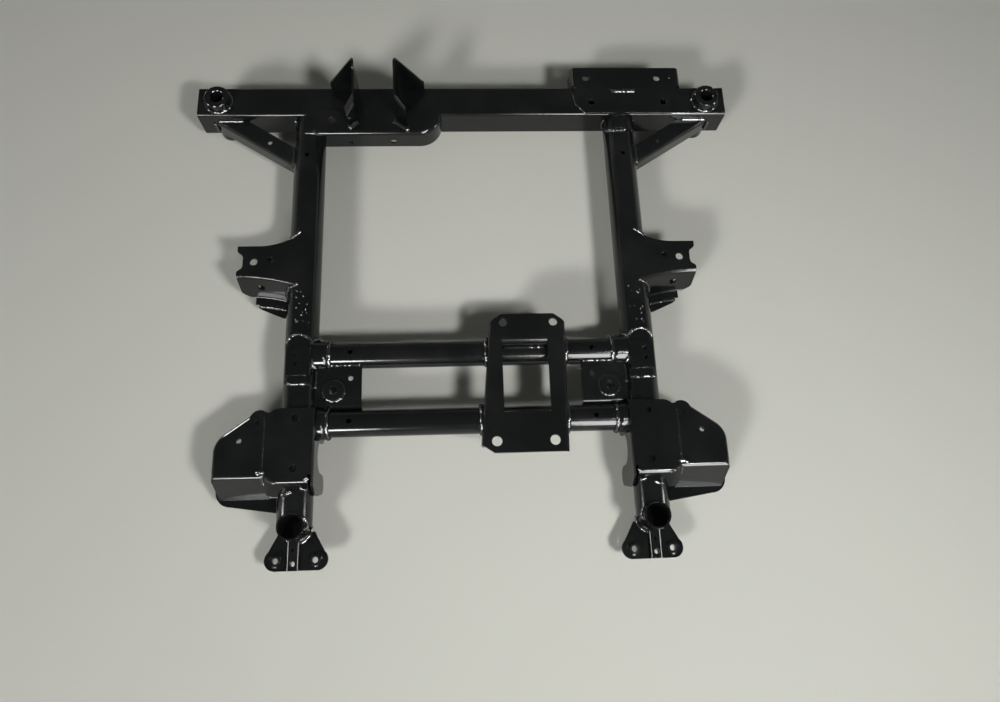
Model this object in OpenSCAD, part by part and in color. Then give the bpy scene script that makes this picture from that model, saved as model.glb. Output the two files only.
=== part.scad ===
// Welded subframe of a small vehicle: a square cross beam, two round side rails and two cross tubes,
// with bent sheet brackets for the suspension arms, the springs, a centre unit and the body mounts.
// Datum: the middle of the beam's top front edge. X runs to the right, Y to the beam, Z up.

/* [Cross beam] */
// Length of the square cross beam
beam_len = 834; // [810:1:880]
// Outside width and height of the beam's section
beam_w = 51; // [49:1:54]
// Wall of the beam
beam_wall = 3; // [2:0.5:4]
// Outside corner radius of the beam's section
beam_corner_r = 5; // [4:0.5:8]

/* [Body mount sleeves] */
// Distance of each sleeve's axis from the beam's end
sleeve_in = 32.5; // [26:0.5:45]
// Distance of each sleeve behind the beam's front face
sleeve_setback = 24; // [22:1:27]
// Outside diameter of a sleeve
sleeve_od = 38; // [34:0.5:40]
// Bore of a sleeve
sleeve_id = 20; // [14:0.5:26]
// Height of a sleeve above the beam
sleeve_rise = 15; // [8:1:25]
// Height of the beam's top above the floor
ride_height = 78; // [74:1:90]

/* [Side rails] */
// Distance of each rail's axis from the middle
rail_x = 245; // [240:1:250]
// Outside diameter of a rail
rail_od = 48; // [46:0.5:50]
// Wall of a rail
rail_wall = 3; // [2:0.5:4]
// Diameter of the drain holes in rails and tubes
drain_d = 7; // [5:0.5:9]
// Distance of a rail's drain hole from the beam
rail_drain_y = 69; // [55:1:90]

/* [Cross tubes] */
// Outside diameter of a cross tube
tube_od = 38; // [36:0.5:40]
// Wall of a cross tube
tube_wall = 2.5; // [2:0.5:4]
// Distance from the beam's front face to the rear cross tube's axis
rear_tube_y = 387; // [375:1:395]
// Distance between the two cross tubes
tube_pitch = 100; // [98:1:106]
// Distance of the drain holes in the cross tubes from the rails
tube_drain_in = 72; // [66:1:100]
// Length of the collar where a tube meets its rail
collar_len = 16; // [13:1:20]
// Thickness of a collar's thin end
collar_t = 3; // [2:0.5:4]

/* [Sheet metal] */
// Thickness of the bent sheet brackets
sheet_t = 3; // [2.5:0.5:3.5]
// Thickness of the flat mounting plates
plate_t = 4; // [3.5:0.5:5]
// Inside radius of the bends
bend_r = 4; // [3:0.5:5]
// Diameter of the bolt holes
bolt_d = 11; // [8:0.5:12]
// Diameter of the small gauge holes
gauge_d = 7; // [4:0.5:8]
// Room left for the weld between pieces
weld_gap = 0.2; // [0.1:0.05:0.3]

/* [Corner braces] */
// Distance of each brace's outer corner from the beam's end
brace_in = 24; // [18:1:32]
// Distance of a brace's front end from the beam, at the rail
brace_reach = 79; // [70:1:90]
// Width of a brace's top
brace_w = 27; // [24:1:32]
// Depth of a brace's flange
brace_depth = 30; // [24:1:32]
// Distance of a brace's top below the beam's top
brace_drop = 15; // [13:1:18]

/* [Shelf bracket] */
// Distance of the shelf's rounded end from the middle
shelf_in = 39; // [30:1:60]
// Reach of the shelf in front of the beam
shelf_reach = 35; // [30:1:42]
// Height of the shelf's front wall
shelf_drop = 34; // [28:1:42]
// Width of the shelf's lap on the beam
shelf_lap = 7; // [5:0.5:8]
// Lap of the shelf past the rail's crown
shelf_over = 4; // [2:1:8]
// Distance of the shelf's first wall hole from the rail
shelf_hole_in = 62; // [45:1:75]

/* [Shelf ears] */
// Distance of the space between the ears from the middle
ears_mid = 138; // [132:1:144]
// Clear space between the ears
ears_gap = 58; // [50:1:64]
// Height of an ear
ear_height = 75; // [70:1:90]
// Width of an ear's back flange
ear_flange = 44; // [40:1:50]
// Height of the back flange at its outer edge
ear_flange_low = 22; // [16:1:30]
// Length of an ear's web
ear_web = 61; // [57:1:64]
// Distance of the ears' back face behind the beam's front face
ear_back = 49; // [46:1:50]
// Width of an ear's front lip
ear_lip = 15; // [10:1:18]

/* [Beam plate] */
// Distance from the right sleeve's axis to the plate's outer edge
beam_plate_gap = 36.5; // [30:0.5:44]
// Width of the plate
beam_plate_w = 178; // [172:1:186]
// Overhang of the plate behind the beam
beam_plate_back = 33; // [30:1:42]
// Depth of the plate's side flanges
beam_plate_depth = 34; // [25:1:40]
// Distance between the plate's bolt holes
beam_plate_pitch = 116; // [110:1:122]
// Length of the tongue on the rail
tongue_len = 28; // [22:1:36]
// Width of the tongue
tongue_w = 44; // [38:1:46]

/* [Arm brackets] */
// Distance from the beam's front face to the arm bolt
arm_y = 248; // [240:1:256]
// Distance of the arm bolt outside the rail's axis
arm_bolt_out = 70.5; // [66:0.5:74]
// Distance from the arm bolt to the bracket's outer tips
arm_tip = 25; // [22:1:28]
// Width of the arm bracket's outer end
arm_w = 50; // [46:1:54]
// Forward lean of the front wall, in degrees
arm_lean = 16; // [10:1:20]
// Width of the front lip
arm_lip = 9; // [7:1:12]
// Radius of the flare at the back, where the bracket runs out along the rail
arm_flare_r = 96; // [85:1:110]
// Radius on which the front wall swings forward to the rail
arm_swing_r = 270; // [240:5:300]

/* [Rail pads] */
// Width of a pad
pad_w = 38; // [34:1:42]
// Length of a pad
pad_len = 42; // [38:1:48]
// Height of a pad above the rail
pad_rise = 4; // [3.5:0.5:6]
// Length of the tongue behind a pad
pad_tongue = 18; // [14:1:22]

/* [Bush plates] */
// Distance of the bush from the rail's axis
bush_in = 49; // [47:1:53]
// Outside diameter of the bush sleeve
bush_od = 28; // [24:1:30]
// Bore of the bush sleeve
bush_id = 13; // [10:0.5:16]
// Length of the bush sleeve
bush_len = 32; // [24:1:38]
// Distance of the plate's top below the beam's top
bush_drop = 14; // [12:0.5:15]
// Distance of the plate's inner edge from the rail's axis
bush_plate_in = 88; // [82:1:94]

/* [Centre mount plate] */
// Distance of the plate's middle from the middle of the frame
centre_x = 75; // [60:1:90]
// Height of the plate's top above the beam's top
centre_rise = 12; // [8:1:18]
// Width of the plate's back edge
centre_back_w = 109; // [104:1:114]
// Width of the plate's front edge
centre_front_w = 121; // [116:1:126]
// Sideways shift of the front edge
centre_skew = 10; // [4:1:14]
// Overhang of the plate behind the rear tube
centre_back = 47; // [42:1:54]
// Overhang of the plate in front of the front tube
centre_front = 53; // [48:1:60]
// Bend radius of the window's flanges
window_bend_r = 7; // [5:0.5:9]
// Width of the window
window_w = 65; // [58:1:72]
// Distance between the back bolt holes
centre_back_pitch = 72; // [66:1:76]
// Distance between the front bolt holes
centre_front_pitch = 80; // [74:1:84]

/* [Saddles] */
// Height of the saddle's top above the beam's top
saddle_rise = 5; // [4:0.5:7]
// Reach of the saddle outside the rail's axis
saddle_out = 40; // [36:1:44]
// Length of the saddle's top
saddle_len = 103; // [98:1:110]
// Radius of the arch in the saddle's inner wall
arch_r = 22; // [19:1:24]
// Height of the arch's crown below the beam's top
arch_drop = 26; // [24:1:30]

/* [Spring shells] */
// Reach of a shell outside the rail's axis
shell_out = 108; // [102:1:114]
// Corner radius of a shell
shell_r = 31; // [26:1:34]
// Depth of a shell
shell_depth = 52; // [46:1:58]
// Slope of a shell's back edge, in degrees
shell_slope = 36; // [32:1:40]
// Lean of a shell's front wall from upright, in degrees
shell_lean = 25; // [18:1:28]
// Width of a shell's front flange
shell_flange = 17; // [12:1:20]

/* [Posts and feet] */
// Distance from the front cross tube to the posts
post_gap = 141; // [135:1:153]
// Outside diameter of a post
post_od = 37; // [34:0.5:40]
// Wall of a post
post_wall = 2.5; // [2:0.5:3.5]
// Height of a post above the beam's top
post_rise = 2; // [0:0.5:8]
// Distance from a post's axis to the front of its foot
foot_reach = 55.5; // [52:0.5:62]
// Width of a foot
foot_w = 86; // [82:1:92]
// Distance between a foot's bolt holes
foot_pitch = 53.5; // [50:0.5:56]
// Diameter of the bolt holes in a foot
foot_hole_d = 9; // [7:0.5:10]
// Distance of the bolt holes from the foot's front edge
foot_hole_in = 13.5; // [13:0.5:15]
// Width of the rib on a foot
rib_w = 17; // [15:0.5:20]
// Height of the rib
rib_h = 8; // [7:0.5:11]
// Width of a weld nut across its flats
nut_af = 14; // [13:0.5:16]
// Height of a weld nut
nut_h = 6.5; // [5:0.5:8]

/* [Hidden] */
$fn = 64;
paint = "#26282b";
LEFT = -1;
RIGHT = 1;
far = 1000;
bend_facets = 8;
rail_r = rail_od / 2;
rail_z = -rail_r;
tube_r = tube_od / 2;
front_tube_y = rear_tube_y + tube_pitch;
post_y = front_tube_y + post_gap;
front_reach = post_y + foot_reach;
sleeve_x = beam_len / 2 - sleeve_in;
brace_x = beam_len / 2 - brace_in;
beam_plate_x = sleeve_x - beam_plate_gap - beam_plate_w / 2;
back_reach = beam_w + beam_plate_back;
fold = bend_r + sheet_t;
collar_r = min(tube_r + collar_t + 3, rail_r - 1);
wall_x = rail_x - rail_r - 2 * weld_gap - sheet_t;
saddle_back = -front_tube_y + tube_r - 1;
saddle_front = saddle_back - saddle_len;

// Straight run between two opposite bends that lower a sheet by drop, and how far it reaches forward
function step_run(drop, turn, t = sheet_t) = (drop - (2 * bend_r + t) * (1 - cos(turn))) / sin(turn);
function step_reach(drop, turn, t = sheet_t) = (2 * bend_r + t) * sin(turn) + step_run(drop, turn, t) * cos(turn);

// Stands the frame on the floor with the middle of its outline over the origin
module stand() translate([0, (front_reach - back_reach) / 2, ride_height]) children();

// Draws a right-hand piece on the side asked for
module on_side(side) {
    if (side == RIGHT) children();
    else mirror([1, 0, 0]) children();
}

// Extrudes a section drawn in Y and Z along X
module along_x(x0, x1) translate([x0, 0, 0]) rotate([90, 0, 90]) linear_extrude(x1 - x0) children();

// Extrudes a section drawn in X and Z along Y
module along_y(y0, y1) translate([0, y1, 0]) rotate([90, 0, 0]) linear_extrude(y1 - y0) children();

// Extrudes a plan outline between two heights
module between(z0, z1) translate([0, 0, z0]) linear_extrude(z1 - z0) children();

// Upright hole or pin through a point of the plan
module drill(x, y, d) translate([x, y, -far / 2]) cylinder(d = d, h = far);

// Room taken by a side rail, a cross tube and a post, with the weld gap around them
module rail_room(gap = weld_gap)
    translate([rail_x, far, rail_z]) rotate([90, 0, 0]) cylinder(r = rail_r + gap, h = far + post_y + gap);
module rail_prism(n = 36) along_y(-post_y, 0) translate([rail_x, rail_z]) polygon([
    for (i = [0.5:n]) (rail_r + weld_gap) / cos(180 / n) * [cos(i * 360 / n), sin(i * 360 / n)]]);
module tube_room(y, gap = weld_gap)
    translate([-far / 2, -y, rail_z]) rotate([0, 90, 0]) cylinder(r = tube_r + gap, h = far);
module collar_room(y) translate([rail_x - rail_r - collar_len - weld_gap, -y, rail_z])
    rotate([0, 90, 0]) cylinder(r = collar_r + weld_gap, h = collar_len + rail_r);
module post_room() drill(rail_x, -post_y, post_od + 2 * weld_gap);
module beam_room() along_x(-far, far) translate([-weld_gap, -beam_w - weld_gap])
    rounded_square(beam_w + 2 * weld_gap, beam_w + 2 * weld_gap, beam_corner_r + weld_gap);

// Rectangle with round corners
module rounded_square(w, h, r) {
    translate([r, 0]) square([w - 2 * r, h]);
    translate([0, r]) square([w, h - 2 * r]);
    for (x = [r, w - r], y = [r, h - r]) translate([x, y]) circle(r);
}

// Slice of a ring between two angles
module ring_slice(r_in, r_out, from, to) {
    step = (to - from) / 4;
    intersection() {
        difference() {
            circle(r_out);
            circle(r_in);
        }
        polygon([[0, 0], for (i = [0:4]) 2 * r_out * [cos(from + i * step), sin(from + i * step)]]);
    }
}

// Section of a bent sheet: runs along +x with its thickness up, each step being a straight run,
// the turn at its end (up is positive) and the inside radius of that turn
module folded(steps, t = sheet_t, i = 0) {
    run = steps[i][0];
    turn = steps[i][1];
    r = steps[i][2];
    pivot = turn > 0 ? t + r : -r;
    square([run, t]);
    if (turn != 0) translate([run, pivot]) {
        if (turn > 0) ring_slice(r, r + t, -90, turn - 90);
        else ring_slice(r, r + t, 90 + turn, 90);
        rotate(turn) translate([0, -pivot]) folded(steps, t, i + 1);
    }
}

// The same section as one outline, for turns other than square ones: each bend in facets of the sheet
function normal(a) = [-sin(a), cos(a)];
function walk(steps, t, side, i = 0, p = [0, 0], a = 0) =
    let (
        run = steps[i][0],
        turn = steps[i][1],
        pivot = turn > 0 ? t + steps[i][2] : -steps[i][2],
        end = p + run * [cos(a), sin(a)],
        c = end + pivot * normal(a),
        b = a + turn
    )
    concat(
        i == 0 ? [p + side * normal(a)] : [],
        turn == 0 ? [end + side * normal(a)]
        : [for (k = [0:bend_facets]) c + (side - pivot) * normal(a + k * turn / bend_facets)],
        turn == 0 ? [] : walk(steps, t, side, i + 1, c - pivot * normal(b), b)
    );
module bent(steps, t = sheet_t) {
    top = walk(steps, t, t);
    polygon(concat(walk(steps, t, 0), [for (i = [len(top) - 1:-1:0]) top[i]]));
}

// Direction of a vector, moved by less than a thousandth of a degree so that its sine has six digits:
// a turn by it then keeps heights exact, and sheets that lie at one height join cleanly
function heading(v) =
    let (lift = asin(round(1e6 * v[1] / norm(v)) / 1e6))
    v[0] < 0 ? 180 - lift : lift;

// Bent edge of a flat sheet: a bend and a skirt from point a to point b, the sheet on its left
module skirt(a, b, top, depth, t = sheet_t, stub = 2) {
    along = b - a;
    translate([a[0], a[1], 0]) rotate(heading(along)) along_x(0, norm(along))
        translate([stub + bend_r + t, top - t]) mirror([1, 0])
            folded([[stub, -90, bend_r], [depth - bend_r - t, 0, 0]], t);
}

// Square tube across the back of the frame
module rear_beam() color(paint) difference() {
    along_x(-beam_len / 2, beam_len / 2) translate([0, -beam_w]) difference() {
        rounded_square(beam_w, beam_w, beam_corner_r);
        translate([beam_wall, beam_wall])
            rounded_square(beam_w - 2 * beam_wall, beam_w - 2 * beam_wall, beam_corner_r - beam_wall);
    }
    for (side = [LEFT, RIGHT]) drill(side * sleeve_x, sleeve_setback, sleeve_od + 2 * weld_gap);
    for (side = [LEFT, RIGHT]) translate([beam_plate_x + side * beam_plate_pitch / 2, beam_w * 0.4, -beam_w / 2])
        cylinder(d = bolt_d, h = beam_w);
}

// Turned sleeve through the beam, with its edges broken
module mount_sleeve(side) {
    h = ride_height + sleeve_rise;
    edge = 1;
    half = [[sleeve_id / 2, edge], [sleeve_id / 2 + edge, 0], [sleeve_od / 2 - edge, 0], [sleeve_od / 2, edge]];
    color(paint) translate([side * sleeve_x, sleeve_setback, -ride_height]) rotate_extrude()
        polygon(concat(half, [for (i = [3:-1:0]) [half[i][0], h - half[i][1]]]));
}

// Round side rail from the beam to the post, coped around the post
module rail(side) color(paint) on_side(side) difference() {
    translate([rail_x, -weld_gap, rail_z]) rotate([90, 0, 0]) cylinder(r = rail_r, h = post_y - weld_gap);
    translate([rail_x, far / 2, rail_z]) rotate([90, 0, 0]) cylinder(r = rail_r - rail_wall, h = 2 * far);
    post_room();
    translate([rail_x, -rail_drain_y, rail_z]) cylinder(d = drain_d, h = rail_od);
}

// Round cross tube, coped around both rails
module cross_tube(y) color(paint) difference() {
    translate([-rail_x, -y, rail_z]) rotate([0, 90, 0]) cylinder(r = tube_r, h = 2 * rail_x);
    tube_room(y, -tube_wall);
    for (side = [LEFT, RIGHT]) on_side(side) {
        rail_room();
        translate([rail_x - tube_drain_in, -y, rail_z]) cylinder(d = drain_d, h = tube_od);
    }
}

// Flared collar around the end of a cross tube
module collar(side, y, end) color(paint) on_side(side) difference() {
    translate([rail_x - rail_r - collar_len, -y, rail_z]) rotate([90, 0, 90]) rotate_extrude() difference() {
        translate([tube_r + weld_gap, 0])
            square([collar_r - tube_r - weld_gap, end - rail_x + rail_r + collar_len]);
        translate([tube_r + collar_t + collar_len, 0]) circle(collar_len);
    }
    rail_room();
}

// Angle section that braces the corner between the beam and a rail
module corner_brace(side) {
    heel = [rail_x + rail_r, -brace_reach];
    along = [brace_x, 0] - heel;
    lean = atan2(along[1], along[0]);
    over = 2 * rail_r;
    color(paint) on_side(side) difference() {
        translate([heel[0], heel[1], 0]) rotate(lean) along_x(-over, norm(along) + over)
            translate([brace_w, -brace_drop - sheet_t]) mirror([1, 0])
                folded([[brace_w - fold, -90, bend_r], [brace_depth - fold, 0, 0]]);
        translate([-far / 2, -weld_gap, -far / 2]) cube(far);
        translate([rail_x - far, -far / 2, -far / 2]) cube(far);
        rail_room();
        translate([heel[0], heel[1], 0]) rotate(lean) drill(norm(along) * 0.36, brace_w / 2, gauge_d);
    }
}

// Bent shelf in front of the beam, with a round end, that laps the beam and the left rail
module shelf_bracket() {
    section = [[shelf_lap + shelf_reach - fold, -90, bend_r], [shelf_drop + sheet_t - fold, 0, 0]];
    corner = -shelf_in - shelf_reach;
    wall_hole_z = -shelf_drop * 0.6;
    color(paint) difference() {
        union() {
            along_x(-rail_x - shelf_over, corner) translate([shelf_lap, 0]) mirror([1, 0]) folded(section);
            translate([corner, 0, 0]) rotate([0, 0, -90]) rotate_extrude(angle = 90)
                folded([[shelf_reach - fold, -90, bend_r], [shelf_drop + sheet_t - fold, 0, 0]]);
            translate([corner, 0, 0]) cube([shelf_reach - fold, shelf_lap, sheet_t]);
        }
        on_side(LEFT) rail_room();
        translate([-far / 2, -weld_gap, -far]) cube(far);
        drill(-rail_x + shelf_hole_in * 0.6, -shelf_reach * 0.3, bolt_d);
        for (x = [-rail_x + shelf_hole_in, -rail_x + 2.1 * shelf_hole_in]) translate([x, 0, wall_hole_z])
            rotate([90, 0, 0]) cylinder(d = bolt_d - 1, h = far);
    }
}

// Ear on the shelf: a web with a tapered back flange and a slanted front lip, all turned one way
module shelf_ear(side) {
    tip_r = 6;
    lip_turn = -57;
    web = ear_web - 2 * fold;
    outer = ears_gap / 2 + ear_flange;
    web_front = ear_back - ear_web;
    lip_front = web_front - ear_lip * cos(lip_turn) - 1;
    flange = [[ear_flange - fold, -90, bend_r], [web, lip_turn, bend_r], [ear_lip, 0, 0]];
    color(paint) translate([-ears_mid, 0, 0]) on_side(side) difference() {
        intersection() {
            // plan of the bent strip, from the flange's outer edge to the lip
            between(-beam_corner_r, ear_height) translate([outer, ear_back - sheet_t]) mirror([1, 0]) bent(flange);
            // side view of the web, which narrows to the top
            along_x(-far, far) {
                translate([ear_back - 2 * tip_r, ear_height - tip_r]) circle(tip_r);
                polygon([
                    [ear_back, -far], [ear_back, ear_height], [ear_back - 2 * tip_r, ear_height],
                    [ear_back - 3 * tip_r, ear_height - tip_r], [web_front + 4, ear_height * 0.8],
                    [lip_front, ear_height * 0.44], [lip_front, -far],
                ]);
            }
            // front view of the flange, which falls to its rounded outer edge
            along_y(-far, far) {
                polygon([
                    [-far, -far], [-far, ear_height], [ears_gap / 2 + sheet_t, ear_height],
                    [outer - tip_r * 0.7, ear_flange_low], [outer, ear_flange_low - tip_r * 0.8], [outer, -far],
                ]);
            }
        }
        beam_room();
        translate([-far / 2, shelf_lap + weld_gap - far, -far + sheet_t + weld_gap]) cube(far);
    }
}

// Plate on the right of the beam, with side flanges behind the beam and a tongue on the rail
module beam_plate() {
    x0 = beam_plate_x - beam_plate_w / 2;
    x1 = beam_plate_x + beam_plate_w / 2;
    rear = beam_w + weld_gap;
    nose = [rail_x - tongue_w / 2, rail_x + tongue_w / 2];
    color(paint) difference() {
        union() {
            // bent part behind the beam
            skirt([x0, beam_w + beam_plate_back], [x0, rear], plate_t, beam_plate_depth, plate_t);
            skirt([x1, rear], [x1, beam_w + beam_plate_back], plate_t, beam_plate_depth, plate_t);
            between(0, plate_t) polygon([
                [x0 + bend_r + plate_t, beam_w + beam_plate_back], [x0 + bend_r + plate_t, rear],
                [x0 + 3, beam_w * 0.8], [x0 + 6, beam_w * 0.35], [x0 + 24, -weld_gap],
                [rail_x - 9, -weld_gap], [rail_x - 8, -4], [rail_x + 8, -4], [rail_x + 9, -weld_gap],
                [x1 - 19, -weld_gap], [x1 - 19, beam_w * 0.35], [x1 - 4, beam_w * 0.85],
                [x1 - bend_r - plate_t, rear], [x1 - bend_r - plate_t, beam_w + beam_plate_back],
            ]);
            // tongue rolled over the rail
            intersection() {
                along_y(-tongue_len, -weld_gap) translate([rail_x, rail_z])
                    ring_slice(rail_r + weld_gap, rail_r + plate_t, 35, 145);
                between(-far, far) {
                    translate([nose[0], -tongue_len + 8]) square([tongue_w, far]);
                    translate([nose[0] + 8, -tongue_len]) square([tongue_w - 16, far]);
                    for (x = [nose[0] + 8, nose[1] - 8]) translate([x, -tongue_len + 8]) circle(8);
                }
            }
        }
        for (side = [LEFT, RIGHT]) {
            drill(beam_plate_x - 7 + side * beam_plate_pitch / 2, beam_w + beam_plate_back * 0.42, bolt_d);
            drill(beam_plate_x + side * beam_plate_pitch / 2, beam_w * 0.4, bolt_d);
        }
        drill(x1 - 17, beam_w + beam_plate_back * 0.45, gauge_d - 2);
        // slot for the plug weld
        between(-1, far) {
            translate([rail_x - 12, beam_w * 0.78 - 3]) square([40, 6]);
            for (x = [-12, 28]) translate([rail_x + x, beam_w * 0.78]) circle(3);
        }
    }
}

// Plan outline shared by the two plates of an arm bracket: forked ears and flares along the rail
module arm_outline() {
    tip = rail_x + arm_bolt_out + arm_tip;
    back = -arm_y + arm_w / 2;
    straight = rail_x + arm_bolt_out - 7;
    root = tip - 9.5;
    notch_y = -arm_y + 1;
    difference() {
        translate([rail_x, -far]) square([tip - rail_x, far + back + rail_r]);
        translate([straight, back]) square(far);
        translate([straight, back + arm_flare_r]) circle(arm_flare_r);
        // notch between the outer ears
        polygon([
            [root + 6, notch_y + 13], [tip + 1, notch_y + 18], [tip + 1, notch_y - 18], [root + 6, notch_y - 14],
            [root + 1.5, notch_y - 11], [root, notch_y - 7], [root, notch_y + 6], [root + 1.5, notch_y + 10],
        ]);
    }
}

// Upper arm plate: top sheet, leaning front wall and front lip in one bent piece, coped on the rail
module arm_upper(side) {
    bend = 90 - arm_lean;
    drop = rail_od - sheet_t;
    flat_end = -arm_y - arm_w / 2 + fold;
    flat = arm_w + rail_r;
    tip = rail_x + arm_bolt_out + arm_tip;
    foot_r = 16;
    section = [[flat, -bend, bend_r], [step_run(drop, bend), bend, bend_r], [arm_lip, 0, 0]];
    color(paint) on_side(side) difference() {
        intersection() {
            // the front wall swings forward to the rail
            translate([tip, flat_end - arm_swing_r, 0]) rotate(90) rotate_extrude(angle = 30)
                translate([arm_swing_r + flat, -sheet_t]) mirror([1, 0]) bent(section);
            between(-far, far) arm_outline();
            // the front wall is rounded off towards its foot
            along_y(-far, far) polygon([
                [rail_x, far], [tip - 1, far], [tip - 1, -drop + foot_r],
                for (a = [20:20:80]) [tip - foot_r, -drop + foot_r] + foot_r * [cos(a), -sin(a)],
                [tip - foot_r - 4, -drop + 1], [tip - foot_r - 4, -far], [rail_x, -far],
            ]);
        }
        rail_prism();
        drill(rail_x + arm_bolt_out, -arm_y, bolt_d);
        drill(rail_x + arm_bolt_out - 23, -arm_y + 3, bolt_d - 2);
        translate([rail_x + arm_bolt_out - 8, flat_end, -drop * 0.5]) rotate([90, 0, 0]) cylinder(d = bolt_d, h = far);
    }
}

// Lower arm plate under the rail, level with the foot of the upper plate
module arm_lower(side) {
    top = -rail_od - weld_gap;
    out = rail_x + arm_bolt_out + arm_tip - 24;
    front = -arm_y - arm_w / 2 + fold - step_reach(rail_od - sheet_t, 90 - arm_lean) - arm_lip;
    color(paint) on_side(side) difference() {
        between(top - sheet_t, top) intersection() {
            union() {
                arm_outline();
                translate([rail_x, -arm_y]) square([out - rail_x, arm_w / 2 + arm_lip]);
            }
            polygon([
                [rail_x, 0], [out, 0], [out, front - 5], [out - 4, front - 8],
                [rail_x + rail_r + 12, front - 22], [rail_x, front - 26],
            ]);
        }
        // scallop that leaves room under the bolt
        drill(rail_x + arm_bolt_out, -arm_y, 2 * bolt_d);
    }
}

// Hat-shaped pad on top of a rail, with a tongue rolled over the rail behind it
module rail_pad(side) {
    back = -rear_tube_y + 7;
    front = back - pad_len;
    leg = rail_r;
    lap = 11;
    nose_r = pad_w * 0.45;
    color(paint) on_side(side) difference() {
        union() {
            along_y(front, back) translate([rail_x - pad_w / 2 + sheet_t, pad_rise - fold - leg]) rotate(90)
                folded([[leg, -90, bend_r], [pad_w - 2 * fold, -90, bend_r], [leg, 0, 0]]);
            // tongues rolled over the rail behind and in front of the pad
            intersection() {
                along_y(front - lap, back + pad_tongue) translate([rail_x, rail_z])
                    ring_slice(rail_r + weld_gap, rail_r + sheet_t, 44, 136);
                between(-far, far) {
                    translate([rail_x - nose_r, back - sheet_t]) square([2 * nose_r, pad_tongue + sheet_t - nose_r]);
                    translate([rail_x, back + pad_tongue - nose_r]) circle(nose_r);
                    translate([rail_x - pad_w, front - lap]) square([2 * pad_w, lap + sheet_t]);
                }
            }
            // end walls of the pad, down to the tongues
            for (y = [back - sheet_t, front]) along_y(y, y + sheet_t)
                translate([rail_x - pad_w / 2 + fold, -rail_r]) square([pad_w - 2 * fold, rail_r + pad_rise]);
        }
        rail_room();
        collar_room(rear_tube_y);
        for (y = [12, 26]) drill(rail_x + 3, back - y, gauge_d - 1);
    }
}

// Bent plate between the cross tubes beside a rail, with a hole for the bush sleeve
module bush_plate(side) {
    front = -front_tube_y + tube_r + weld_gap;
    color(paint) on_side(side) difference() {
        along_x(rail_x - bush_plate_in, rail_x) translate([-rear_tube_y, -bush_drop - sheet_t]) mirror([1, 0])
            folded([[-front - rear_tube_y - fold, -90, bend_r], [tube_r - fold + 4, 0, 0]]);
        rail_room();
        tube_room(rear_tube_y);
        for (y = [rear_tube_y, front_tube_y]) collar_room(y);
        drill(rail_x - bush_in, -rear_tube_y - tube_pitch * 0.55, bush_od + 2 * weld_gap);
        drill(rail_x - tube_drain_in, -rear_tube_y - tube_pitch * 0.365, gauge_d);
    }
}

// Turned sleeve in the bush plate
module bush_sleeve(side) color(paint) on_side(side)
    translate([rail_x - bush_in, -rear_tube_y - tube_pitch * 0.55, -bush_drop + 4 - bush_len]) difference() {
        cylinder(d = bush_od, h = bush_len);
        translate([0, 0, -1]) cylinder(d = bush_id, h = bush_len + 2);
    }

// Tray on the two cross tubes: a top with a window, side skirts coped on the tubes and two window flanges
module centre_plate() {
    back = -rear_tube_y + centre_back;
    front = -front_tube_y - centre_front;
    back_x = centre_x + centre_skew / 2;
    front_x = centre_x - centre_skew / 2;
    bl = [back_x - centre_back_w / 2, back - 11];
    br = [back_x + centre_back_w / 2, back - 12];
    fl = [front_x - centre_front_w / 2, front + 12];
    fr = [front_x + centre_front_w / 2, front];
    // the left and right edges, run past the plate's ends
    long_l = [bl + 0.1 * (bl - fl), fl + 0.08 * (fl - bl)];
    long_r = [br + 0.1 * (br - fr), fr + 0.08 * (fr - br)];
    chamfer = [[17, 11], [17, -12], [18, -12]];
    window = [-rear_tube_y + 3, -front_tube_y + 7];
    roll = window_bend_r + plate_t;
    deep = [-rear_tube_y + tube_r + 6, -front_tube_y - tube_r - 6];
    depth = centre_rise - rail_z;
    lap = 5;
    flange = [[4, -90, window_bend_r], [depth - roll - tube_r * 0.6, 0, 0]];
    color(paint) difference() {
        union() {
            difference() {
                intersection() {
                    // left and right half, each bent from flat top to skirt
                    union() {
                        intersection() {
                            skirt(long_l[0], long_l[1], centre_rise, depth, plate_t, centre_front_w);
                            translate([centre_x + lap - far, -far, -far]) cube([far, far, 2 * far]);
                        }
                        intersection() {
                            skirt(long_r[1], long_r[0], centre_rise, depth, plate_t, centre_front_w);
                            translate([centre_x - lap, -far, -far]) cube([far, far, 2 * far]);
                        }
                    }
                    // side view of the skirts, which run out towards both ends
                    along_x(-far, far) polygon([
                        [far, far], [far, centre_rise - plate_t - 1], [back, centre_rise - plate_t - 1],
                        [deep[0], rail_z + 1], [deep[1], rail_z + 1], [front, centre_rise - plate_t - 1],
                        [-far, centre_rise - plate_t - 1], [-far, far],
                    ]);
                    // outline with its cut corners
                    between(-far, far) polygon([
                        bl - chamfer[0] / 2, bl + chamfer[0], br - chamfer[1], br + chamfer[1] / 2,
                        fr + [9, 0], fl + chamfer[2], fl - chamfer[2] / 2,
                    ]);
                }
                // window and bolt holes
                between(0, far) translate([centre_x - window_w / 2, window[1] - roll])
                    square([window_w, window[0] - window[1] + 2 * roll]);
                for (side = [LEFT, RIGHT]) {
                    drill(back_x + 1 + side * centre_back_pitch / 2, back - 13, bolt_d + 1);
                    drill(front_x + 1 + side * centre_front_pitch / 2, front + 16, bolt_d + 3);
                }
            }
            // rolled flanges of the window, which stand on the tubes
            along_x(centre_x - window_w / 2, centre_x + window_w / 2) {
                translate([window[0] + roll + 4, centre_rise - plate_t]) mirror([1, 0]) folded(flange, plate_t);
                translate([window[1] - roll - 4, centre_rise - plate_t]) folded(flange, plate_t);
            }
        }
        for (y = [rear_tube_y, front_tube_y]) tube_room(y);
    }
}

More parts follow.
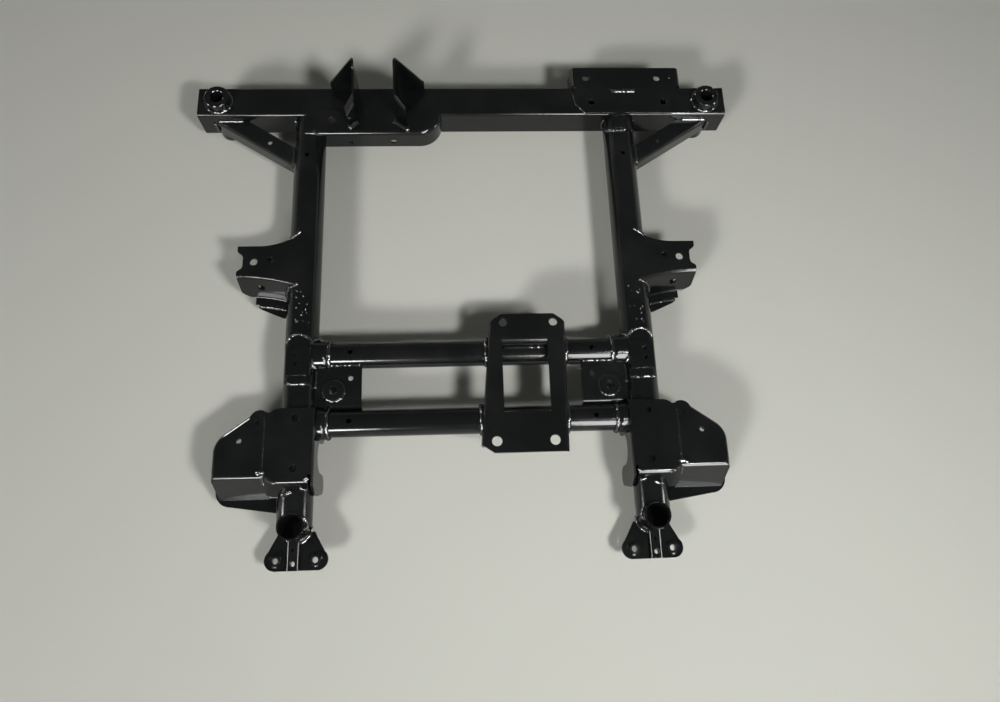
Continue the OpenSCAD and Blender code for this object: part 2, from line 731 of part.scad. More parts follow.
// Side view of a saddle's inner wall: two lobes that reach the floor, with an arch between them
module saddle_wall_outline() {
    lobe_r = 14;
    arch_y = -front_tube_y - 43;
    back_lobe_r = (saddle_back - arch_y - arch_r) / 2;
    difference() {
        union() {
            polygon([
                [saddle_back, saddle_rise], [saddle_back, -ride_height + back_lobe_r],
                [arch_y, -ride_height + back_lobe_r], [arch_y, -ride_height + lobe_r],
                [arch_y - arch_r - 2 * lobe_r, -ride_height + lobe_r],
                [saddle_front - 14, -rail_r - 6], [saddle_front - 14, -rail_r + 8], [saddle_front, saddle_rise],
            ]);
            translate([arch_y - arch_r - lobe_r, -ride_height + lobe_r]) circle(lobe_r);
            translate([saddle_back - back_lobe_r, -ride_height + back_lobe_r]) circle(back_lobe_r);
        }
        translate([arch_y, -arch_drop - arch_r]) circle(arch_r);
        translate([arch_y - arch_r, -far]) square([2 * arch_r, far - arch_drop - arch_r]);
    }
}

// Plan of a saddle's top, grown by a gap
module saddle_plan(gap = 0) {
    out = rail_x + saddle_out;
    front_r = 16;
    back_r = 20;
    translate([0, saddle_front + front_r]) square([out + gap, saddle_len - front_r - back_r]);
    translate([0, saddle_front - gap]) square([out - front_r, front_r + gap + 1]);
    translate([0, saddle_back - back_r - 1]) square([out - back_r, back_r + gap + 1]);
    translate([out - front_r, saddle_front + front_r]) circle(front_r + gap);
    translate([out - back_r, saddle_back - back_r]) circle(back_r + gap);
}

// Saddle over a rail: top, deep inner wall with an arch, and a leaning front wall
module saddle(side) {
    out = rail_x + saddle_out;
    corner_r = 16;
    slope = 50;
    front_section = [[corner_r - fold * sin(slope), -slope, bend_r], [24, 0, 0]];
    color(paint) on_side(side) difference() {
        union() {
            // top and inner wall
            intersection() {
                along_y(saddle_front - 20, saddle_back) translate([out, saddle_rise - sheet_t]) mirror([1, 0])
                    folded([[out - wall_x - fold, -90, bend_r], [saddle_rise + ride_height - fold, 0, 0]]);
                along_x(0, far) saddle_wall_outline();
                between(-far, far) {
                    intersection() {
                        saddle_plan();
                        translate([0, saddle_front + corner_r]) square(far);
                    }
                    translate([0, saddle_front + corner_r - 4]) square([out - corner_r + 6, 8]);
                    translate([0, -far]) square([wall_x + sheet_t, far]);
                }
            }
            // leaning front wall, rounded into the outer side
            intersection() {
                union() {
                    along_x(wall_x + fold, out - corner_r) translate([saddle_front + corner_r, saddle_rise - sheet_t])
                        mirror([1, 0]) bent(front_section);
                    translate([out - corner_r, saddle_front + corner_r, 0]) rotate(-90) rotate_extrude(angle = 90)
                        translate([0, saddle_rise - sheet_t]) bent(front_section);
                }
                translate([0, -far, -rail_r]) cube([out - 2, far, far]);
            }
        }
        rail_room();
        tube_room(front_tube_y);
        for (y = [front_tube_y - 4, front_tube_y + 65]) drill(rail_x - 1, -y, bolt_d - 1);
    }
}

// Spring shell outside a saddle: a pressed pan with a sloped back edge, a round corner and a front flange
module spring_shell(side) {
    x_in = rail_x + saddle_out;
    x_out = rail_x + shell_out;
    front = -front_tube_y - 72;
    top = saddle_rise;
    centre = [x_out - shell_r, -front_tube_y - 41];
    outward = [sin(shell_slope), cos(shell_slope)];
    heel = centre + shell_r * outward;
    run = (heel[0] - x_in - 15) / cos(shell_slope);
    toe = heel + run * [-cos(shell_slope), sin(shell_slope)];
    bump_r = 14;
    bump = toe - bump_r * outward;
    corner = [[shell_r - fold, -90, bend_r], [shell_depth - fold, 0, 0]];
    turn = 90 - shell_lean;
    flange_r = 21;
    lip = 6;
    wall_run = (shell_depth - 0.3 - sheet_t * cos(turn) - fold * (1 - cos(turn))) / sin(turn);
    foot = front - fold * sin(turn) - wall_run * cos(turn) + 2;
    color(paint) on_side(side) difference() {
        union() {
            // flat top inside the bent edges
            between(top - sheet_t, top) {
                polygon([
                    [x_in - 12, front + 8], [x_in - 12, bump[1]], bump, toe - fold * outward, heel - fold * outward,
                    centre, [x_out - fold, centre[1]], [x_out - fold, front + 8],
                ]);
                translate(bump) circle(bump_r);
                translate([x_in - 12, bump[1]]) square([bump[0] - x_in + 12, bump_r * 0.75]);
            }
            skirt(heel, toe, top, shell_depth);
            translate([centre[0], centre[1], top - sheet_t]) rotate_extrude(angle = 90 - shell_slope) folded(corner);
            skirt([x_out, front + 4], [x_out, centre[1]], top, shell_depth);
            // side of the sloped front
            along_x(x_out - sheet_t, x_out) polygon([
                [front + 6, top - fold], [front - 6, top - fold], [foot + 1, top - shell_depth],
                [front + 6, top - shell_depth],
            ]);
            // bend and sloped front wall, rounded off at the outer side
            intersection() {
                along_x(x_in + weld_gap, x_out) translate([front + 8, top - sheet_t]) mirror([1, 0])
                    bent([[8, -turn, bend_r], [wall_run, 0, 0]]);
                along_y(-far, 0) polygon([
                    [0, far], [0, -far], [x_out - 0.3, -far],
                    for (a = [0:30:90]) [x_out - fold, top - fold] + (fold - 0.3) * [cos(a), sin(a)],
                    [x_out - fold, far],
                ]);
            }
            // flange at the wall's foot
            between(top - shell_depth, top - shell_depth + sheet_t) {
                polygon([
                    [x_in - 10, foot], [x_in - 10, front - 30 - shell_flange],
                    [x_out + lip - flange_r, front - 20 - shell_flange],
                    [x_out + lip - flange_r, front - 20 - shell_flange + flange_r],
                    [x_out + lip, front - 20 - shell_flange + flange_r], [x_out, foot + 12],
                    [x_out - 1, foot],
                ]);
                translate([x_out + lip - flange_r, front - 20 - shell_flange + flange_r]) circle(flange_r);
            }
        }
        between(top - 2 * sheet_t, far) saddle_plan(weld_gap);
        drill(x_in + 10, -front_tube_y - 2, gauge_d);
        drill(x_in + 33, -front_tube_y - 26, gauge_d);
    }
}

// Upright tube at the front of a rail
module post(side) color(paint) on_side(side) translate([rail_x, -post_y, -rail_od + plate_t]) difference() {
    h = rail_od - plate_t + post_rise;
    cylinder(d = post_od, h = h);
    translate([0, 0, -1]) cylinder(d = post_od - 2 * post_wall, h = h + 2);
}

// Rounded triangular plate under a post
module foot_plate(side) {
    front = -post_y - foot_reach;
    corner_r = 14.5;
    color(paint) on_side(side) difference() {
        between(-rail_od, -rail_od + plate_t) {
            polygon([
                [rail_x - rail_r, -post_y - 4], [rail_x - foot_w / 2 + 0.6, front + corner_r + 3],
                [rail_x - foot_w / 2 + corner_r, front], [rail_x + foot_w / 2 - corner_r, front],
                [rail_x + foot_w / 2 - 0.6, front + corner_r + 3], [rail_x + rail_r, -post_y - 4],
            ]);
            for (x = [-1, 1]) translate([rail_x + x * (foot_w / 2 - corner_r), front + corner_r]) circle(corner_r);
            translate([rail_x, -post_y]) circle(d = post_od);
        }
        for (x = [-1, 1]) drill(rail_x + x * foot_pitch / 2, front + foot_hole_in, foot_hole_d);
        drill(rail_x + 3.5, front + 9, gauge_d);
    }
}

// Channel rib along the middle of a foot
module foot_rib(side) {
    front = -post_y - foot_reach;
    t = 2.5;
    r = 2;
    base = -rail_od + plate_t + weld_gap;
    color(paint) on_side(side) difference() {
        along_y(front, -post_y) translate([rail_x + 3.5 - rib_w / 2 + t, base]) rotate(90)
            folded([[rib_h - t - r, -90, r], [rib_w - 2 * t - 2 * r, -90, r], [rib_h - t - r, 0, 0]], t);
        post_room();
        drill(rail_x + 3.5, front + 9, gauge_d);
        drill(rail_x + 3.5, front + 27, gauge_d - 3);
    }
}

// Hexagon nuts welded on the feet
module foot_weld_nuts() color("#3a3c3f") for (side = [LEFT, RIGHT], x = [-1, 1])
    translate([side * rail_x + x * foot_pitch / 2, -post_y - foot_reach + foot_hole_in, -rail_od + plate_t])
        difference() {
            cylinder(d = nut_af / cos(30), h = nut_h, $fn = 6);
            translate([0, 0, -1]) cylinder(d = foot_hole_d - 1, h = nut_h + 2);
        }

stand() rear_beam();
stand() mount_sleeve(LEFT);  // left_mount_sleeve
stand() mount_sleeve(RIGHT);  // right_mount_sleeve
stand() rail(LEFT);  // left_rail
stand() rail(RIGHT);  // right_rail
stand() cross_tube(rear_tube_y);  // rear_cross_tube
stand() cross_tube(front_tube_y);  // front_cross_tube
stand() collar(LEFT, rear_tube_y, rail_x);  // left_rear_collar
stand() collar(RIGHT, rear_tube_y, rail_x);  // right_rear_collar
stand() collar(LEFT, front_tube_y, wall_x - weld_gap);  // left_front_collar
stand() collar(RIGHT, front_tube_y, wall_x - weld_gap);  // right_front_collar
stand() corner_brace(LEFT);  // left_corner_brace
stand() corner_brace(RIGHT);  // right_corner_brace
stand() shelf_bracket();
stand() shelf_ear(LEFT);  // shelf_outer_ear
stand() shelf_ear(RIGHT);  // shelf_inner_ear
stand() beam_plate();
stand() arm_upper(LEFT);  // left_arm_upper
stand() arm_upper(RIGHT);  // right_arm_upper
stand() arm_lower(LEFT);  // left_arm_lower
stand() arm_lower(RIGHT);  // right_arm_lower
stand() rail_pad(LEFT);  // left_rail_pad
stand() rail_pad(RIGHT);  // right_rail_pad
stand() bush_plate(LEFT);  // left_bush_plate
stand() bush_plate(RIGHT);  // right_bush_plate
stand() bush_sleeve(LEFT);  // left_bush_sleeve
stand() bush_sleeve(RIGHT);  // right_bush_sleeve
stand() centre_plate();
stand() saddle(LEFT);  // left_saddle
stand() saddle(RIGHT);  // right_saddle
stand() spring_shell(LEFT);  // left_spring_shell
stand() spring_shell(RIGHT);  // right_spring_shell
stand() post(LEFT);  // left_post
stand() post(RIGHT);  // right_post
stand() foot_plate(LEFT);  // left_foot_plate
stand() foot_plate(RIGHT);  // right_foot_plate
stand() foot_rib(LEFT);  // left_foot_rib
stand() foot_rib(RIGHT);  // right_foot_rib
stand() foot_weld_nuts();
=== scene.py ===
# %% [markdown]
# A welded vehicle subframe, painted glossy black, on a concrete floor.
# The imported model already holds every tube, plate and bracket at full size, so this lesson dresses it:
# paint, the weld beads that hold the pieces together, a floor, lamps and a camera.
# The frame is loaded first and its box is kept, because nothing that is added may make the object bigger.

# %% Load the frame
import math
import random

import bpy
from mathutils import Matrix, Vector


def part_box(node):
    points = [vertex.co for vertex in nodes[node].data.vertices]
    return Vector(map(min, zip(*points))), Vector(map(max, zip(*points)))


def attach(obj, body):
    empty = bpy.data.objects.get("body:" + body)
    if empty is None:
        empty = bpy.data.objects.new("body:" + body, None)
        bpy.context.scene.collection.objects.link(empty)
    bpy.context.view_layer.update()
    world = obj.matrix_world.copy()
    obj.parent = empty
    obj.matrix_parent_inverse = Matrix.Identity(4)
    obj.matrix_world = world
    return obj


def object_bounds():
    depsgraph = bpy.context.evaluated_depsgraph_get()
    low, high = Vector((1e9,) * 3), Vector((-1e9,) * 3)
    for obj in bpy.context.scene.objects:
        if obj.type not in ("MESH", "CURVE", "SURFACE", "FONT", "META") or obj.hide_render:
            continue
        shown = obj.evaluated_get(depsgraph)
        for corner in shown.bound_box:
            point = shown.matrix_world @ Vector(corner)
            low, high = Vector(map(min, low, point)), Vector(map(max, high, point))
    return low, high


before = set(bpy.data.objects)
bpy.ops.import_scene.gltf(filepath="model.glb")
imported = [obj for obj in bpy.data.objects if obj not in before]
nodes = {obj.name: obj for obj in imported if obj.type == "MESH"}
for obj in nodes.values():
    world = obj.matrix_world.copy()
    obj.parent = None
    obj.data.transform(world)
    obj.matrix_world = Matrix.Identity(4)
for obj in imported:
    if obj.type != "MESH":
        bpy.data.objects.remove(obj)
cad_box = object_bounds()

print("loaded", len(nodes), "pieces, box in metres", [[round(c, 4) for c in corner] for corner in cad_box])

# %% [markdown]
# Sizes in this lesson are millimetres, measured from one place: the middle of the cross beam's top front
# edge. X runs to the right, Y to the back and Z up. One function turns such a place into metres in the frame.
# The main radii and places could be typed, but they are read from the boxes of the loaded pieces, so that
# they follow the model.

# %% Places and sizes
MM = 0.001
beam_low, beam_high = (Vector(c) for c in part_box("rear_beam"))
DATUM = Vector((0, beam_low.y, beam_high.z))


def spot(x, y, z):
    """A place in millimetres from the datum, in metres in the frame."""
    return DATUM + Vector((x, y, z)) * MM


def span(node):
    """A node's lowest and highest corner in millimetres from the datum."""
    low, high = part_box(node)
    return (Vector(low) - DATUM) / MM, (Vector(high) - DATUM) / MM


rail_low, rail_high = span("right_rail")
RAIL_X = (rail_low.x + rail_high.x) / 2
RAIL_R = (rail_high.z - rail_low.z) / 2
RAIL_Z = (rail_high.z + rail_low.z) / 2
tube_low, tube_high = span("rear_cross_tube")
TUBE_R = (tube_high.z - tube_low.z) / 2
REAR_TUBE_Y = (tube_high.y + tube_low.y) / 2
front_low, front_high = span("front_cross_tube")
FRONT_TUBE_Y = (front_high.y + front_low.y) / 2
SIDES = {"left": -1, "right": 1}
print("rails at", RAIL_X, "radius", RAIL_R, "tubes at", REAR_TUBE_Y, FRONT_TUBE_Y, "radius", TUBE_R)

# %% [markdown]
# Every finish is built from shader nodes. Small helpers keep that short: one turns a colour as a designer
# writes it, a hex value, into the linear numbers that the renderer works with, one adds a node with its
# settings and links, and one starts a material.

# %% Helpers for materials
def linear(hex_value):
    parts = [int(hex_value[i:i + 2], 16) / 255 for i in (1, 3, 5)]
    return [c / 12.92 if c <= 0.04045 else ((c + 0.055) / 1.055) ** 2.4 for c in parts] + [1]


def add_node(tree, kind, settings=None, links=None):
    """Adds a node, sets its inputs or attributes, and links inputs, by name or number, to outputs."""
    made = tree.nodes.new(kind)
    for name, value in (settings or {}).items():
        if name in made.inputs:
            made.inputs[name].default_value = value
        else:
            setattr(made, name, value)
    for socket, output in (links or {}).items():
        tree.links.new(made.inputs[socket], output)
    return made


def new_material(name):
    made = bpy.data.materials.new(name)
    made.use_nodes = True
    return made, made.node_tree, made.node_tree.nodes["Principled BSDF"]


print("middle grey in linear numbers", [round(c, 3) for c in linear("#808080")])

# %% [markdown]
# The paint is a glossy black dip coat on steel. It is almost black and reflects like any varnish, so the
# lamps show as thin bright lines on every bend. One flat black would make each face look cut from card, so
# three things that the real film shows are added. It isn't quite level: a slow ripple a few millimetres wide
# breaks the bright lines up. It lies round over cut edges, which a bevel of about half a millimetre stands
# for. Handling leaves clouds of dust about a hand wide, where the black turns greyer and the gloss duller.
# The weld beads carry the same coat. A real bead's ripples are too fine to show at this size of picture, so
# the waves are drawn coarser, and their coat reflects more strongly than varnish does.

# %% Black gloss paint
RIPPLE_MM = 7
RIPPLE_HIGH_MM = 0.2
EDGE_ROUND_MM = 0.6
DUST_CLOUD_MM = 70
DUST = "#1D1E1D"
DUST_STARTS, DUST_FULL = 0.45, 0.75
DUST_DULLS = 1.4
VARNISH_IOR = 1.46
BEAD_IOR = 2.1


def gloss_paint(name, colour, roughness, ripple, ior=VARNISH_IOR):
    made, tree, shader = new_material(name)
    shader.inputs["IOR"].default_value = ior
    where = add_node(tree, "ShaderNodeTexCoord")
    cloud = add_node(tree, "ShaderNodeTexNoise", {"Scale": 1 / (DUST_CLOUD_MM * MM), "Detail": 5.0},
                     {"Vector": where.outputs["Object"]})
    dust = add_node(tree, "ShaderNodeMapRange", {"From Min": DUST_STARTS, "From Max": DUST_FULL},
                    {"Value": cloud.outputs["Fac"]})
    tone = add_node(tree, "ShaderNodeMixRGB", {"Color1": linear(colour), "Color2": linear(DUST)},
                    {"Fac": dust.outputs["Result"]})
    dull = add_node(tree, "ShaderNodeMapRange", {"To Min": roughness, "To Max": roughness * DUST_DULLS},
                    {"Value": dust.outputs["Result"]})
    film = add_node(tree, "ShaderNodeTexNoise", {"Scale": 1 / (RIPPLE_MM * MM), "Detail": 2.0},
                    {"Vector": where.outputs["Object"]})
    edge = add_node(tree, "ShaderNodeBevel", {"samples": 4, "Radius": EDGE_ROUND_MM * MM})
    level = add_node(tree, "ShaderNodeBump", {"Strength": ripple, "Distance": RIPPLE_HIGH_MM * MM},
                     {"Height": film.outputs["Fac"], "Normal": edge.outputs["Normal"]})
    tree.links.new(shader.inputs["Base Color"], tone.outputs["Color"])
    tree.links.new(shader.inputs["Roughness"], dull.outputs["Result"])
    tree.links.new(shader.inputs["Normal"], level.outputs["Normal"])
    return made


black_paint = gloss_paint("black_gloss_dip_coat", "#111313", roughness=0.12, ripple=0.35)
bead_paint = gloss_paint("black_coat_on_weld", "#18191A", roughness=0.1, ripple=0.6, ior=BEAD_IOR)
nut_paint = gloss_paint("black_coat_on_nut", "#15171A", roughness=0.22, ripple=0.2)
for name, piece in nodes.items():
    piece.data.materials.clear()
    piece.data.materials.append(nut_paint if name == "foot_weld_nuts" else black_paint)
print("painted", len(nodes), "pieces")

# %% [markdown]
# A weld bead is a row of small overlapping waves of metal. It could be a plain rod with a bump in its
# material, but then its outline would be smooth and the mesh would lose the waves. So one wave is modelled by
# hand: a ring, pulled out to a crest and back in to the next valley. It is the pattern for every bead.

# %% One wave of a bead
BEAD_R = 2.9
WAVE_MM = 3.3
CREST = 1.6
CREST_AT = 0.45
RING_POINTS = 10


def only(piece):
    """Makes a piece the only one that is selected, because an operator acts on all that is."""
    bpy.ops.object.select_all(action="DESELECT")
    piece.select_set(True)
    bpy.context.view_layer.objects.active = piece


rise, fall = CREST_AT * WAVE_MM * MM, (1 - CREST_AT) * WAVE_MM * MM
bpy.ops.object.select_all(action="DESELECT")
bpy.ops.mesh.primitive_circle_add(
    vertices=RING_POINTS, radius=BEAD_R * MM / CREST, rotation=(0, math.pi / 2, 0), enter_editmode=True)
bpy.ops.mesh.extrude_region_move(TRANSFORM_OT_translate={"value": (rise, 0, 0)})
bpy.ops.transform.resize(value=(1, CREST, CREST), center_override=(rise, 0, 0))
bpy.ops.mesh.extrude_region_move(TRANSFORM_OT_translate={"value": (fall, 0, 0)})
bpy.ops.transform.resize(value=(1, 1 / CREST, 1 / CREST), center_override=(WAVE_MM * MM, 0, 0))
bpy.ops.object.mode_set(mode="OBJECT")
wave = bpy.context.object
bpy.ops.object.transform_apply(location=True, rotation=True, scale=True)
print("one wave has", len(wave.data.polygons), "faces")

# %% [markdown]
# A joint is a list of places. A bead could run straight through them, but a hand that lays one shakes a
# little, so the joint is walked in even steps with a small wobble. The draws are seeded, so every run lays
# the same beads.

# %% Walking a joint
STEP_MM = 2
SHAKE_MM = 0.25
wobble = random.Random(5)


def walked(path, closed):
    """The path in even steps, in metres in the frame."""
    places = [Vector(p) for p in path] + ([Vector(path[0])] if closed else [])
    legs = [(b - a).length for a, b in zip(places, places[1:])]
    steps = max(3, round(sum(legs) / STEP_MM))
    out, leg, gone = [], 0, 0.0
    for i in range(steps if closed else steps + 1):
        target = sum(legs) * i / steps
        while leg < len(legs) - 1 and gone + legs[leg] < target:
            gone += legs[leg]
            leg += 1
        along = min(1.0, (target - gone) / legs[leg])
        shake = Vector([wobble.uniform(-SHAKE_MM, SHAKE_MM) for _ in range(3)])
        out.append(spot(*(places[leg].lerp(places[leg + 1], along) + shake)))
    return out


print("joints are walked in steps of about", STEP_MM, "mm")

# %% [markdown]
# Setting each wave in place by hand would follow any joint, but slowly. An Array modifier repeats the wave
# into a straight rod and a Curve modifier bends the rod along the walked path, and both are applied. The rod
# is stretched a little so that whole waves fill the path. A closed path has its ends merged, an open one is
# capped, so each bead is one closed skin.

# %% Laying a bead
WAVE_MERGE_MM = 0.02
END_MERGE_MM = 0.25
OPEN_MERGE_MM = 0.01


def path_curve(points, closed):
    line = bpy.data.curves.new("bead_path", "CURVE")
    line.dimensions = "3D"
    spline = line.splines.new("POLY")
    spline.points.add(len(points) - 1)
    for point, place in zip(spline.points, points):
        point.co = (*place, 1)
    spline.use_cyclic_u = closed
    guide = bpy.data.objects.new("bead_path", line)
    bpy.context.collection.objects.link(guide)
    return guide


def bead(path, closed=False, size=1.0):
    """One bead along a path. Size 1 is the pattern wave's own thickness."""
    points = walked(path, closed)
    guide = path_curve(points, closed)
    length = sum((b - a).length for a, b in zip(points, points[1:] + (points[:1] if closed else [])))
    waves = max(2, round(length / (WAVE_MM * MM * size)))
    only(wave)
    bpy.ops.object.duplicate()
    rod = bpy.context.object
    rod.scale = (length / waves / (WAVE_MM * MM), size, size)
    bpy.ops.object.transform_apply(location=False, rotation=False, scale=True)
    row = rod.modifiers.new("row", "ARRAY")
    row.count = waves
    row.use_merge_vertices = True
    row.merge_threshold = WAVE_MERGE_MM * MM
    bend = rod.modifiers.new("bend", "CURVE")
    bend.object = guide
    bpy.ops.object.modifier_apply(modifier="row")
    bpy.ops.object.modifier_apply(modifier="bend")
    bpy.ops.object.mode_set(mode="EDIT")
    bpy.ops.mesh.select_all(action="SELECT")
    bpy.ops.mesh.remove_doubles(threshold=(END_MERGE_MM if closed else OPEN_MERGE_MM) * MM)
    bpy.ops.mesh.fill_holes(sides=0)
    bpy.ops.mesh.normals_make_consistent(inside=False)
    bpy.ops.object.mode_set(mode="OBJECT")
    bpy.data.objects.remove(guide)
    return rod


print("a bead is", 2 * BEAD_R, "mm thick, with a wave about every", WAVE_MM, "mm")

# %% [markdown]
# All beads of one joint are joined into one piece, which is painted and rides on the frame. Joints that both
# sides have are described for the right side and mirrored to the left. Most are arcs around a tube, so one
# function gives places on a ring about any axis, and another gives the height of a rail's round top. Small
# numbers that are added to a surface's place in the next cells say how far a bead's middle stands off it.

# %% Joints and their paths
CROSS = {"X": ((0, 1, 0), (0, 0, 1)), "Y": ((1, 0, 0), (0, 0, 1)), "Z": ((1, 0, 0), (0, 1, 0))}
RING_END = 345  # degrees: a closed path's last leg runs from here back to its start


def weld(name, *beads):
    """Joins the beads of one joint into one piece, painted and riding on the frame."""
    bpy.ops.object.select_all(action="DESELECT")
    for piece in beads:
        piece.select_set(True)
    bpy.context.view_layer.objects.active = beads[0]
    if len(beads) > 1:
        bpy.ops.object.join()
    piece = bpy.context.object
    piece.name = piece.data.name = "weld_" + name
    piece.data.materials.append(bead_paint)
    bpy.ops.object.shade_smooth()
    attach(piece, "root")
    print(piece.name, len(piece.data.polygons), "faces")


def arc(axis, centre, r, start, end, steps=24):
    """Places on a ring about an axis, in degrees from its first cross direction to its second."""
    u, v = (Vector(d) for d in CROSS[axis])
    turns = [math.radians(start + (end - start) * i / steps) for i in range(steps + 1)]
    return [Vector(centre) + r * (u * math.cos(t) + v * math.sin(t)) for t in turns]


def rail_top(x, lift=0.8):
    return RAIL_Z + math.sqrt((RAIL_R + lift) ** 2 - (x - RAIL_X) ** 2)


def on_side(side, path):
    return [(side * x, y, z) for x, y, z in path]


print("a bead on top of a rail has its middle at", round(rail_top(RAIL_X), 2), "mm")

# %% [markdown]
# The cross tubes end in collars. Each collar has a bead around the tube at its inner end, and one where it
# meets the rail, which follows the line where two round tubes cross. That line could be found with a Boolean,
# but the distance from the rail's middle gives it in one square root.

# %% Collar welds
SEAM_NEAREST = 3  # keeps the square root real, should a collar be as big as the rail

for side_name, side in SIDES.items():
    for row, y in (("rear", REAR_TUBE_Y), ("front", FRONT_TUBE_Y)):
        low, high = span(f"{side_name}_{row}_collar")
        inner = high.x if side < 0 else low.x
        collar_r = (high.z - low.z) / 2
        ring = arc("X", (inner - side * 1.2, y, RAIL_Z), TUBE_R + 1, 0, RING_END)
        seam = []
        for _, seam_y, seam_z in arc("X", (0, y, RAIL_Z), collar_r + 0.6, 0, RING_END, 30):
            reach = math.sqrt(max(RAIL_R ** 2 - (seam_z - RAIL_Z) ** 2, SEAM_NEAREST ** 2))
            seam.append((side * (RAIL_X - reach - 0.4), seam_y, seam_z))
        weld(f"{side_name}_{row}_collar", bead(ring, closed=True, size=1.2), bead(seam, closed=True))

# %% [markdown]
# At the back, the rails butt against the beam, the mount sleeves pass through its ends and the corner braces
# close the angle. A sleeve is welded on both sides of the beam. The tops of the rails are covered by the
# shelf and the beam plate, so their beads run round the open lower part only. Rings and arcs are worked out
# from the tubes' own sizes, which fits better than points set by eye. A straight seam needs only its ends.

# %% Beam welds
BEAM_UNDER = (beam_low.z - DATUM.z) / MM
BRACE_TOP = span("right_corner_brace")[1].z
sleeve_low, sleeve_high = span("right_mount_sleeve")
SLEEVE = (sleeve_low + sleeve_high) / 2
SLEEVE_R = (sleeve_high.x - sleeve_low.x) / 2
BRACE_SEAMS = (
    ((349, -1, BRACE_TOP + 0.8), (387, -1, BRACE_TOP + 0.8)),
    ((394.4, -1, BRACE_TOP - 5), (394.4, -1, BRACE_TOP - 26)),
    ((268, -80, BRACE_TOP + 0.7), (268, -49, BRACE_TOP + 0.7)),
    ((270, -82, BRACE_TOP - 4), (269, -82, BRACE_TOP - 22)),
)
sleeve_rings = [arc("Z", (SLEEVE.x, SLEEVE.y, z), SLEEVE_R + 0.8, 0, RING_END)
                for z in (0.8, BEAM_UNDER - 0.8)]
rail_end = arc("Y", (RAIL_X, -1, RAIL_Z), RAIL_R + 0.6, -205, 25)
for side_name, side in SIDES.items():
    weld(f"{side_name}_sleeve", *[bead(on_side(side, ring), closed=True) for ring in sleeve_rings])
    weld(f"{side_name}_rail_beam", bead(on_side(side, rail_end)))
    weld(f"{side_name}_brace", *[bead(on_side(side, seam)) for seam in BRACE_SEAMS])

# %% [markdown]
# The shelf's ears have a thick bead along the foot of each slanted lip and the shelf has a dab on the rail.
# The plate on the right has a bead along its cut corner, a filled slot over the beam and a bead round its
# tongue on the rail. That last one could be drawn flat and pressed on with a Shrinkwrap modifier, but the
# height of the rail's round top is known, so each place is simply lifted to it.

# %% Shelf and beam plate welds
SHELF_TOP = span("shelf_bracket")[1].z
EAR_BEAD = 1.6
PLATE_LEFT = span("beam_plate")[0].x
weld("shelf",
     bead([(-182, -27.3, SHELF_TOP + 0.5), (-168.4, -14.8, SHELF_TOP + 0.5)], size=EAR_BEAD),
     bead([(-112.6, -14.1, SHELF_TOP + 0.5), (-89.3, -30.4, SHELF_TOP + 0.5)], size=EAR_BEAD),
     bead([(-236, -30.5, SHELF_TOP), (-229.5, -35, SHELF_TOP - 2)], size=0.9))
tongue = [(223, -7), (222.8, -20), (226, -26.5), (232, -28.8), (252, -28.8)]
weld("beam_plate",
     bead([(PLATE_LEFT + 2.5, 36, 1), (PLATE_LEFT + 5.5, 18, 1), (PLATE_LEFT + 23.5, -0.6, 0.6)]),
     bead([(RAIL_X - 11, 39.8, 3), (RAIL_X + 27, 39.8, 3)]),
     bead([(x, y, rail_top(x, 1.5)) for x, y in tongue], size=1.2))

# %% [markdown]
# An arm bracket is welded to the rail along the back of its top sheet and down the slope of its front wall.
# The lip at the wall's foot has a long bead on the lower plate, and that plate one on the rail. The bead on
# the wall climbs round the rail, so its places are an angle round the rail and a distance along it, which
# says more to a reader than a list of heights.

# %% Arm bracket welds
LOWER_TOP = span("right_arm_lower")[1].z
WALL_R = RAIL_R + 0.9
arm_back = [(249.5, -200.5, -0.2), (257, -205.8, -1), (265, -211, -2)]
arm_wall = [(RAIL_X + WALL_R * math.cos(math.radians(a)), y, RAIL_Z + WALL_R * math.sin(math.radians(a)))
            for a, y in ((78, -283.5), (45, -287), (20, -291), (-5, -294.5), (-30, -298))]
arm_lip = [(x, y, LOWER_TOP + 0.8) for x, y in ((314, -299.5), (300, -301.2), (287, -303.4), (275, -306.2))]
arm_foot = [(267, -300, LOWER_TOP + 1.5), (265, -318, LOWER_TOP + 1.5)]
for side_name, side in SIDES.items():
    weld(f"{side_name}_arm", *[bead(on_side(side, seam)) for seam in (arm_back, arm_wall, arm_lip, arm_foot)])

# %% [markdown]
# The rail pad is welded round its tongue and along its front lap. The bush plate beside it has a bead on the
# rear tube, one on the rail and a ring round the bush sleeve. The tongue's bead is a flat arc, lifted to the
# rail's round top like the one on the beam plate.

# %% Pad and bush welds
pad_low, pad_high = span("right_rail_pad")
bush_low, bush_high = span("right_bush_sleeve")
BUSH = (bush_low + bush_high) / 2
BUSH_R = (bush_high.x - bush_low.x) / 2
PLATE_TOP = span("right_bush_plate")[1].z
NOSE_R = 18.2
nose = arc("Z", (RAIL_X, pad_high.y - NOSE_R + 1.1, 0), NOSE_R, -10, 190)
pad_seam = [(p.x, p.y, rail_top(p.x, 1.2)) for p in nose]
pad_lap = [(x, pad_low.y - 0.8, rail_top(x, 1.2)) for x in (227, 236, 245, 254, 261)]
tube_face = REAR_TUBE_Y - math.sqrt(TUBE_R ** 2 - (PLATE_TOP - RAIL_Z) ** 2)
bush_row = [(160, tube_face - 0.8, PLATE_TOP + 0.6), (202, tube_face - 0.8, PLATE_TOP + 0.6)]
bush_rail = [(221.8, -413, PLATE_TOP + 0.6), (221.8, -438, PLATE_TOP + 0.6)]
bush_ring = arc("Z", (BUSH.x, BUSH.y, PLATE_TOP + 0.8), BUSH_R + 0.8, 0, RING_END)
